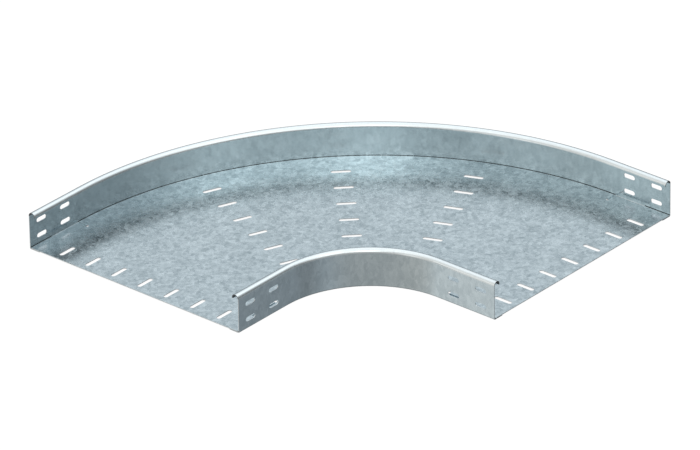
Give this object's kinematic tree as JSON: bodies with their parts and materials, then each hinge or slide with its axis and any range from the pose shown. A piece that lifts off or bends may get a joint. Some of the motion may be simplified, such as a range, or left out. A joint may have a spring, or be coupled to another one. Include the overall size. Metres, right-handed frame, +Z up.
{
  "type": "cable tray bend",
  "caption": "Flat 90 degree bend for open cable tray: slotted floor plate between two curved side rails with a rolled top bead and slotted ends.",
  "frame": {"origin": "Middle of the bend's bounding square, on the plane of the undersides of the side rails' flanges", "axes": "+Z up, out of the open side of the tray; end A opens towards -Y and end B towards -X, so the outer rail's straight ends face +X and +Y"},
  "size_m": [0.655, 0.655, 0.06],
  "materials": {
    "rail_steel": "zinc-coated strip, satin, faint cloudy spangle",
    "floor_steel": "zinc-coated sheet, smooth, faint cloudy spangle"
  },
  "bodies": {
    "root": {"floor_plate": "floor_steel", "outer_side_rail": "rail_steel", "inner_side_rail": "rail_steel"}
  },
  "joints": []
}
